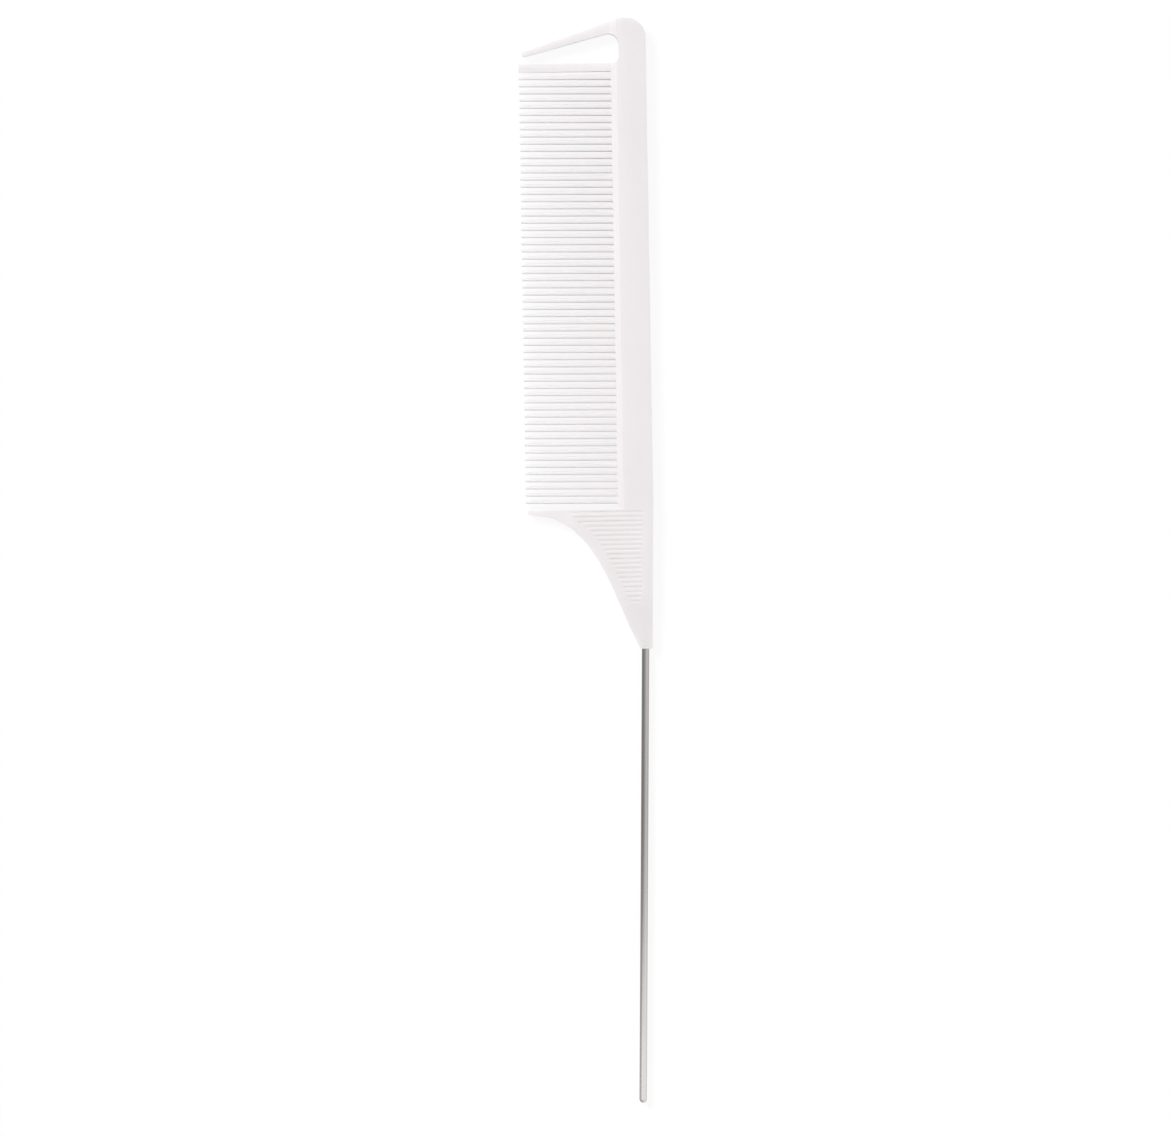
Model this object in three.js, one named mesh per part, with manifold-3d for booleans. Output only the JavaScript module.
// Rat tail comb: a moulded parting comb with a steel pin tail set in its neck.
//
// Millimetres, +Z up. The comb lies flat. The back of its spine lies along x = 0 and the teeth point
// to -X. +Y runs from the pin to the head, and y = 0 is the upper edge of the end guard tooth, where
// the neck begins. z = 0 is the mould's parting plane, halfway through the comb and the pin. The
// group is moved at the end, so that its origin is the centre of its footprint.
import * as THREE from "three";
import { mergeVertices } from "three/addons/utils/BufferGeometryUtils.js";
import Module from "manifold-3d";

const wasm = await Module();
wasm.setup();

// ---------- driving dimensions ----------

const COMB_THICKNESS = 4;
const SPINE_WIDTH = 6.4;
const BACK_ROUND_WIDTH = 1.1; // the rounded back edge of the spine and neck, across X
const BACK_ROUND_DEPTH = 0.8; // and down from each face
const EDGE_ROUND = 0.25; // every other edge of the thick part

const TOOTH_LENGTH = 20; // from the gap roots to the tips
const TOOTH_COUNT = 60; // the fine teeth, without the wider first one and the guards
const TOOTH_PITCH = 1.557;
const TOOTH_ROOT_WIDTH = 1.13; // at the parting plane, as are the tip width and the gaps
const TOOTH_TIP_WIDTH = 0.62;
const TOOTH_FACE_DRAFT = 0.2; // what each side of a tooth would lose from there to the comb's face
const TEETH_ROOT_THICKNESS = 3;
const TEETH_TIP_THICKNESS = 1.2;
const TIP_EDGE_CHAMFER = 0.3; // between the tips' faces and their ends
const BEVEL_WIDTH = 1.5; // the bevel that drops from the spine's face to the teeth
const BEVEL_PAST_GAPS = 0.25; // how far its foot lies past the gap roots
const FIRST_TOOTH_WIDTH = 1.75;
const FIRST_GAP = 0.66; // between the first tooth and the fine teeth, at the roots
const LAST_GAP = 1.24; // between the fine teeth and the end guard, at the roots
const GAP_CORNER_RADIUS = 0.2;

const HEAD_HEIGHT = 9.8; // from the window's floor to the top of the head
const HEAD_CORNER_RADIUS = 4.2;
const HEAD_LEVEL_WIDTH = 1.4; // the level stretch at the top of the head
const WINDOW_BACK_WIDTH = 5.85; // from the back of the head to the closed end of the window
const WINDOW_TOP_RADIUS = 2.25; // where the slanted guard meets that end
const WINDOW_FLOOR_RADIUS = 1.5; // where the first tooth meets it
const SLANT_ANGLE = 15.2; // degrees between the first tooth and the guard's lower edge
const SLANT_TIP_RISE = 1.5; // from the window's floor to the lower edge of the slanted guard's tip
const SLANT_TIP_WIDTH = 1.1;
const SLANT_TIP_INSET = 0.8; // how far that tip stays short of the tooth tips

const NECK_LENGTH = 30.3; // from the end guard's upper edge to the nose
const NECK_LEAN = 1.27; // degrees between the teeth's back line and the pin
const NECK_FRONT_BULGE = 14.4; // length of the curve's level pull, from the end guard's tip
const NECK_FRONT_SWEEP = 12.6; // length of its pull along the nose's flank
const NOSE_FLANK_ANGLE = 28; // degrees from the pin to the neck's front edge, at the nose
const NOSE_THICKNESS = 2.4;
const NOSE_CORNER_RADIUS = 0.5;
const NOSE_TAPER_LENGTH = 13; // where the faces draw in towards the nose
const END_GUARD_TIP_WIDTH = 0.95;
const END_GUARD_TIP_INSET = 0.5; // how far its tip stays short of the tooth tips
const END_GUARD_TIP_THICKNESS = 1.6;
const END_GUARD_FLAT_WIDTH = 17; // from the back to where the end guard starts to thin

const RIB_COUNT = 20;
const RIB_PITCH = 1.02;
const RIB_TOP_MARGIN = 0.64;
const RIB_BACK_MARGIN = 2.2;
const RIB_FRONT_MARGIN = 1.8;
const RIB_GROOVE_WIDTH = 0.5;
const RIB_GROOVE_DEPTH = 0.22;

const PIN_DIAMETER = 1.6;
const PIN_EXPOSED = 98.4;
const PIN_FIT_GAP = 0.05; // all round, between the pin and the neck
const NOSE_BACK_WALL = 0.72; // plastic behind the pin, at the nose
const NOSE_FRONT_WALL = 0.26; // plastic in front of it
const SHANK_LENGTH = 15; // the round part of the pin that is hidden in the neck
const RING_GROOVE_COUNT = 3; // the shank's grooves, which stop it pulling out
const RING_GROOVE_WIDTH = 1.4;
const RING_GROOVE_DEPTH = 0.25;
const RING_GROOVE_PITCH = 3;
const COINED_LENGTH = 5; // the flattened end, which stops the pin turning
const COINED_WIDTH = 2;
const COINED_ROOT_WIDTH = 1; // where it starts, inside the round shank
const COINED_THICKNESS = 1;

const PIN_SEGMENTS = 24;
const PIN_TIP_SEGMENTS = 5;
const ROUND_SEGMENTS = 3; // for each rounded edge and small corner
const CORNER_SEGMENTS = 4; // for each large corner
const GAP_SEGMENTS = 1; // for each corner of a gap's root, in halves
const NECK_CURVE_SEGMENTS = 20;
const OVERCUT = 1; // how far a cutter or a mask runs past what it cuts
const WELD_DISTANCE = 1e-5; // corners nearer than this are one corner

const COMB_COLOR = 0xece8e8;
const STEEL_COLOR = 0xb9b6b5;

// ---------- places that follow from them ----------

const halfThickness = COMB_THICKNESS / 2;
const pinRadius = PIN_DIAMETER / 2;
const neckLean = THREE.MathUtils.degToRad(NECK_LEAN);
const slant = THREE.MathUtils.degToRad(SLANT_ANGLE);
const edgeRound = Math.min(EDGE_ROUND, TOOTH_TIP_WIDTH * 0.45); // the tips are the thinnest walls

const bevelFootX = -(SPINE_WIDTH + BEVEL_WIDTH);
const gapRootX = bevelFootX + BEVEL_PAST_GAPS;
const toothTipX = gapRootX - TOOTH_LENGTH;

const lowestToothY = LAST_GAP + TOOTH_ROOT_WIDTH / 2;
const highestToothY = lowestToothY + (TOOTH_COUNT - 1) * TOOTH_PITCH;
const firstToothY = highestToothY + TOOTH_ROOT_WIDTH / 2 + FIRST_GAP; // its lower edge
const windowFloorY = firstToothY + FIRST_TOOTH_WIDTH;
const headTopY = windowFloorY + HEAD_HEIGHT;

const noseBackX = -NECK_LENGTH * Math.tan(neckLean);
const pinX = noseBackX - NOSE_BACK_WALL - pinRadius; // where the pin's axis leaves the nose
const noseFrontX = pinX - pinRadius - NOSE_FRONT_WALL;

// ---------- solids ----------

// A closed three.js geometry as a manifold-3d solid.
function toSolid(geometry) {
  const bare = geometry.clone().deleteAttribute("normal").deleteAttribute("uv");
  const merged = mergeVertices(bare, WELD_DISTANCE);
  return new wasm.Manifold(
    new wasm.Mesh({
      numProp: 3,
      vertProperties: merged.attributes.position.array,
      triVerts: new Uint32Array(merged.index.array),
    }),
  );
}

// A manifold-3d solid as a named mesh, shaded flat.
function toMesh(name, solid, material) {
  const { vertProperties, triVerts } = solid.getMesh();
  const shared = new THREE.BufferGeometry();
  shared.setAttribute("position", new THREE.BufferAttribute(vertProperties, 3));
  shared.setIndex(new THREE.BufferAttribute(triVerts, 1));
  const geometry = shared.toNonIndexed();
  geometry.computeVertexNormals();
  const mesh = new THREE.Mesh(geometry, material);
  mesh.name = name;
  return mesh;
}

// An outline in the XY plane, given height along Z and centred on z = 0.
function extrudeAlongZ(shape, height, curveSegments = ROUND_SEGMENTS) {
  const geometry = new THREE.ExtrudeGeometry(shape, {
    depth: height,
    bevelEnabled: false,
    curveSegments,
  });
  return geometry.translate(0, 0, -height / 2);
}

// An outline whose first coordinate is X and second is Z, drawn out from y = 0 to y = length.
function extrudeAlongY(shape, length) {
  const geometry = extrudeAlongZ(shape, length);
  return geometry.rotateX(Math.PI / 2).translate(0, length / 2, 0);
}

// An outline whose first coordinate is Y and second is Z, drawn out on both sides of x = 0.
function extrudeAlongX(shape, length) {
  const geometry = extrudeAlongZ(shape, length, CORNER_SEGMENTS);
  return geometry.rotateY(Math.PI / 2).rotateX(Math.PI / 2);
}

// ---------- the thick part, seen from above ----------

// The neck's concave front edge, from the end guard's tip to the nose.
function neckFrontCurve() {
  const tip = new THREE.Vector2(
    toothTipX + END_GUARD_TIP_INSET + END_GUARD_TIP_WIDTH / 2,
    -END_GUARD_TIP_WIDTH,
  );
  const nose = new THREE.Vector2(noseFrontX, -NECK_LENGTH);
  const flank = THREE.MathUtils.degToRad(NOSE_FLANK_ANGLE);
  return new THREE.CubicBezierCurve(
    tip,
    new THREE.Vector2(tip.x + NECK_FRONT_BULGE, tip.y),
    new THREE.Vector2(
      nose.x - NECK_FRONT_SWEEP * Math.sin(flank),
      nose.y + NECK_FRONT_SWEEP * Math.cos(flank),
    ),
    nose,
  );
}

// The window's edge, from the slanted guard's tip round the closed end to the first tooth.
function traceWindow(shape) {
  const topX = -WINDOW_BACK_WIDTH - WINDOW_TOP_RADIUS;
  const slantStartX = toothTipX + SLANT_TIP_INSET + SLANT_TIP_WIDTH / 2;
  const slantY = windowFloorY + SLANT_TIP_RISE + (topX - slantStartX) * Math.tan(slant);
  const topY = slantY - WINDOW_TOP_RADIUS / Math.cos(slant);
  shape.absarc(topX, topY, WINDOW_TOP_RADIUS, Math.PI / 2 + slant, 0, true);
  const floorX = -WINDOW_BACK_WIDTH - WINDOW_FLOOR_RADIUS;
  const floorY = windowFloorY + WINDOW_FLOOR_RADIUS;
  shape.absarc(floorX, floorY, WINDOW_FLOOR_RADIUS, 0, -Math.PI / 2, true);
}

// The whole comb from above, with its window and guards but without its tooth gaps.
function combOutline() {
  const shape = new THREE.Shape();
  const headCornerY = headTopY - HEAD_CORNER_RADIUS;
  shape.moveTo(0, 0);
  shape.lineTo(0, headCornerY);
  shape.absarc(-HEAD_CORNER_RADIUS, headCornerY, HEAD_CORNER_RADIUS, 0, Math.PI / 2);
  shape.lineTo(-HEAD_CORNER_RADIUS - HEAD_LEVEL_WIDTH, headTopY);

  const slantRadius = SLANT_TIP_WIDTH / 2;
  const slantX = toothTipX + SLANT_TIP_INSET + slantRadius;
  const slantY = windowFloorY + SLANT_TIP_RISE + slantRadius;
  shape.absarc(slantX, slantY, slantRadius, Math.PI / 2 + slant, Math.PI * 1.5);
  traceWindow(shape);

  const tipRadius = TOOTH_TIP_WIDTH / 2;
  const tipX = toothTipX + tipRadius;
  shape.absarc(tipX, windowFloorY - tipRadius, tipRadius, Math.PI / 2, Math.PI);
  shape.lineTo(toothTipX, LAST_GAP / 2);

  const guardRadius = END_GUARD_TIP_WIDTH / 2;
  const guardX = toothTipX + END_GUARD_TIP_INSET + guardRadius;
  shape.lineTo(guardX, LAST_GAP / 2);
  shape.absarc(guardX, -guardRadius, guardRadius, Math.PI / 2, Math.PI * 1.5);
  for (const point of neckFrontCurve().getPoints(NECK_CURVE_SEGMENTS).slice(1)) {
    shape.lineTo(point.x, point.y);
  }
  shape.lineTo(noseBackX - NOSE_CORNER_RADIUS, -NECK_LENGTH);
  shape.quadraticCurveTo(
    noseBackX,
    -NECK_LENGTH,
    noseBackX + NOSE_CORNER_RADIUS * Math.sin(neckLean),
    -NECK_LENGTH + NOSE_CORNER_RADIUS,
  );
  return shape;
}

// The outline at the comb's full thickness, with every edge rounded a little.
function combBlank() {
  const geometry = new THREE.ExtrudeGeometry(combOutline(), {
    depth: COMB_THICKNESS - 2 * edgeRound,
    bevelThickness: edgeRound,
    bevelSize: edgeRound,
    bevelOffset: -edgeRound,
    bevelSegments: ROUND_SEGMENTS,
    curveSegments: CORNER_SEGMENTS,
  });
  return toSolid(geometry.translate(0, 0, edgeRound - halfThickness));
}

// ---------- how thick it is, from the back to the tips ----------

// A section that is symmetrical about the parting plane. Its upper half runs from the rounded back
// along the face to the given [x, z] corners, the last of which is at the tips.
function sectionOf(corners) {
  const shape = new THREE.Shape();
  shape.absellipse(
    -BACK_ROUND_WIDTH,
    halfThickness - BACK_ROUND_DEPTH,
    BACK_ROUND_WIDTH,
    BACK_ROUND_DEPTH,
    0,
    Math.PI / 2,
  );
  corners.forEach(([x, z]) => shape.lineTo(x, z));
  corners.toReversed().forEach(([x, z]) => shape.lineTo(x, -z));
  shape.absellipse(
    -BACK_ROUND_WIDTH,
    BACK_ROUND_DEPTH - halfThickness,
    BACK_ROUND_WIDTH,
    BACK_ROUND_DEPTH,
    -Math.PI / 2,
    0,
  );
  return shape;
}

// Spine, bevel and wedge-shaped teeth, all along the blade and the head.
function bladeSpace() {
  const section = sectionOf([
    [-SPINE_WIDTH, halfThickness],
    [bevelFootX, TEETH_ROOT_THICKNESS / 2],
    [toothTipX + TIP_EDGE_CHAMFER, TEETH_TIP_THICKNESS / 2],
    [toothTipX, TEETH_TIP_THICKNESS / 2 - TIP_EDGE_CHAMFER],
  ]);
  return toSolid(extrudeAlongY(section, headTopY + OVERCUT));
}

// The neck, which leans with the pin and thins only along the end guard.
function neckSpace() {
  const length = NECK_LENGTH + OVERCUT;
  const section = sectionOf([
    [-END_GUARD_FLAT_WIDTH, halfThickness],
    [toothTipX + END_GUARD_TIP_INSET, END_GUARD_TIP_THICKNESS / 2],
    [toothTipX - OVERCUT, END_GUARD_TIP_THICKNESS / 2],
  ]);
  const leaning = extrudeAlongY(section, length).translate(0, -length, 0);
  return toSolid(leaning.rotateZ(-neckLean));
}

// The neck's faces seen from the side: level, then curving in to the nose.
function noseSpace() {
  const noseY = -NECK_LENGTH;
  const levelY = noseY + NOSE_TAPER_LENGTH;
  const bendY = noseY + NOSE_TAPER_LENGTH / 2;
  const noseZ = NOSE_THICKNESS / 2;
  const highZ = halfThickness + OVERCUT;
  const shape = new THREE.Shape();
  shape.moveTo(noseY - OVERCUT, -noseZ);
  shape.lineTo(noseY, -noseZ);
  shape.quadraticCurveTo(bendY, -halfThickness, levelY, -halfThickness);
  shape.lineTo(levelY + OVERCUT, -highZ);
  shape.lineTo(OVERCUT, -highZ);
  shape.lineTo(OVERCUT, highZ);
  shape.lineTo(levelY + OVERCUT, highZ);
  shape.lineTo(levelY, halfThickness);
  shape.quadraticCurveTo(bendY, halfThickness, noseY, noseZ);
  shape.lineTo(noseY - OVERCUT, noseZ);
  return toSolid(extrudeAlongX(shape, 3 * -toothTipX));
}

// ---------- what is cut from it ----------

// The round of a fine tooth's tip, as the edge of the gap beside it, from the tooth's side to its
// end. away is -1 for the tooth below the gap and 1 for the tooth above it.
function tipRound(edgeY, away) {
  const radius = TOOTH_TIP_WIDTH / 2;
  return [0, Math.PI / 6, Math.PI / 3].map((angle) => {
    const x = toothTipX + radius * (1 - Math.sin(angle));
    return [x, edgeY + away * radius * (1 - Math.cos(angle))];
  });
}

// One gap between teeth. lower and upper are its edges, each with its y at the root and at the tips.
function gapCutter(lower, upper) {
  const corner = Math.min(GAP_CORNER_RADIUS, (upper.root - lower.root) / 2);
  const lowerRound = tipRound(lower.tip, -1).toReversed();
  const upperRound = tipRound(upper.tip, 1);
  const shape = new THREE.Shape();
  shape.moveTo(toothTipX - OVERCUT, lowerRound[0][1]);
  lowerRound.forEach(([x, y]) => shape.lineTo(x, y));
  shape.absarc(gapRootX - corner, lower.root + corner, corner, -Math.PI / 2, 0);
  shape.absarc(gapRootX - corner, upper.root - corner, corner, 0, Math.PI / 2);
  upperRound.forEach(([x, y]) => shape.lineTo(x, y));
  shape.lineTo(toothTipX - OVERCUT, upperRound.at(-1)[1]);
  return toSolid(draftedCutter(shape));
}

// A cutter that is narrowest at the parting plane and opens towards both faces.
function draftedCutter(shape) {
  const rise = halfThickness + OVERCUT;
  const draft = (TOOTH_FACE_DRAFT * rise) / halfThickness;
  return new THREE.ExtrudeGeometry(shape, {
    depth: 0,
    bevelThickness: rise,
    bevelSize: -draft,
    bevelOffset: draft,
    bevelSegments: 1,
    curveSegments: GAP_SEGMENTS,
  });
}

// Every gap, from the end guard up to the first tooth.
function toothGaps() {
  const guardEdge = { root: 0, tip: 0 };
  const firstToothEdge = { root: firstToothY, tip: firstToothY };
  const edges = [guardEdge];
  for (let i = 0; i < TOOTH_COUNT; i += 1) {
    const y = lowestToothY + i * TOOTH_PITCH;
    edges.push({ root: y - TOOTH_ROOT_WIDTH / 2, tip: y - TOOTH_TIP_WIDTH / 2 });
    edges.push({ root: y + TOOTH_ROOT_WIDTH / 2, tip: y + TOOTH_TIP_WIDTH / 2 });
  }
  edges.push(firstToothEdge);
  const cutters = [];
  for (let i = 0; i < edges.length; i += 2) {
    cutters.push(gapCutter(edges[i], edges[i + 1]));
  }
  return cutters;
}

// Where the ribs start: the x of the front edge's inner margin at height y.
function ribFrontX(y) {
  const curve = neckFrontCurve();
  const inner = [];
  for (let i = 0; i <= NECK_CURVE_SEGMENTS; i += 1) {
    const t = i / NECK_CURVE_SEGMENTS;
    const tangent = curve.getTangent(t);
    const inward = new THREE.Vector2(-tangent.y, tangent.x);
    inner.push(curve.getPoint(t).addScaledVector(inward, RIB_FRONT_MARGIN));
  }
  const after = inner.findIndex((point) => point.y < y);
  const above = inner[after - 1];
  const below = inner[after];
  return THREE.MathUtils.mapLinear(y, above.y, below.y, above.x, below.x);
}

// The V grooves between the anti-slip ribs, on both faces.
function ribGrooves() {
  const cutters = [];
  for (let i = 0; i < RIB_COUNT; i += 1) {
    const y = -(RIB_TOP_MARGIN + i * RIB_PITCH);
    const frontX = ribFrontX(y);
    const backX = y * Math.tan(neckLean) - RIB_BACK_MARGIN;
    const diamond = new THREE.CylinderGeometry(1, 1, backX - frontX, 4);
    diamond.rotateZ(Math.PI / 2).scale(1, RIB_GROOVE_WIDTH / 2, RIB_GROOVE_DEPTH);
    diamond.translate((backX + frontX) / 2, y, halfThickness);
    cutters.push(toSolid(diamond));
    cutters.push(toSolid(diamond.clone().translate(0, 0, -COMB_THICKNESS)));
  }
  return cutters;
}

// ---------- the pin ----------

// The pin's turned part. Its own frame has y = 0 at the nose and +y into the neck.
function pinProfile(grow) {
  const radius = pinRadius + grow;
  const tipY = -PIN_EXPOSED + pinRadius;
  const points = [];
  for (let i = 0; i <= PIN_TIP_SEGMENTS; i += 1) {
    const angle = (i / PIN_TIP_SEGMENTS) * (Math.PI / 2);
    points.push([radius * Math.sin(angle), tipY - radius * Math.cos(angle)]);
  }
  const grooveRadius = radius - RING_GROOVE_DEPTH;
  const grooveTop = SHANK_LENGTH - RING_GROOVE_PITCH;
  for (let i = RING_GROOVE_COUNT - 1; i >= 0; i -= 1) {
    const middle = grooveTop - i * RING_GROOVE_PITCH;
    const low = middle - RING_GROOVE_WIDTH / 2 + grow;
    const high = middle + RING_GROOVE_WIDTH / 2 - grow;
    points.push([radius, low], [grooveRadius, low], [grooveRadius, high], [radius, high]);
  }
  points.push([radius, SHANK_LENGTH + grow], [0, SHANK_LENGTH + grow]);
  return points.map(([r, y]) => new THREE.Vector2(r, y));
}

// The coined end, from inside the shank to its round-cornered tip.
function coinedEnd(grow) {
  const half = COINED_WIDTH / 2 + grow;
  const rootHalf = COINED_ROOT_WIDTH / 2 + grow;
  const shoulder = COINED_WIDTH / 2;
  const topY = SHANK_LENGTH + COINED_LENGTH + grow;
  const shape = new THREE.Shape();
  shape.moveTo(-rootHalf, SHANK_LENGTH - rootHalf);
  shape.lineTo(rootHalf, SHANK_LENGTH - rootHalf);
  shape.lineTo(half, SHANK_LENGTH + shoulder);
  shape.lineTo(half, topY - shoulder / 2);
  shape.lineTo(half - shoulder / 2, topY);
  shape.lineTo(shoulder / 2 - half, topY);
  shape.lineTo(-half, topY - shoulder / 2);
  shape.lineTo(-half, SHANK_LENGTH + shoulder);
  return toSolid(extrudeAlongZ(shape, COINED_THICKNESS + 2 * grow));
}

// The whole pin, grown all round by the given amount, leaning where the comb holds it.
function pinSolid(grow) {
  const turned = toSolid(new THREE.LatheGeometry(pinProfile(grow), PIN_SEGMENTS));
  return turned
    .add(coinedEnd(grow))
    .rotate([0, 0, -NECK_LEAN])
    .translate([pinX, -NECK_LENGTH, 0]);
}

// ---------- the two pieces ----------

function combBody() {
  const space = bladeSpace().add(neckSpace().intersect(noseSpace()));
  const cutters = [...toothGaps(), ...ribGrooves(), pinSolid(PIN_FIT_GAP)];
  const cut = cutters.reduce((all, cutter) => all.add(cutter));
  const material = new THREE.MeshStandardMaterial({
    color: COMB_COLOR,
    roughness: 0.45,
    metalness: 0,
  });
  return toMesh("comb_body", combBlank().intersect(space).subtract(cut), material);
}

function steelPin() {
  const material = new THREE.MeshStandardMaterial({
    color: STEEL_COLOR,
    roughness: 0.25,
    metalness: 1,
  });
  return toMesh("steel_pin", pinSolid(0), material);
}

const comb = new THREE.Group();
comb.add(combBody(), steelPin());

const box = new THREE.Box3().setFromObject(comb);
const centre = box.getCenter(new THREE.Vector3());
comb.position.set(-centre.x, -centre.y, -box.min.z);

const part = new THREE.Group();
part.add(comb);

export default part;
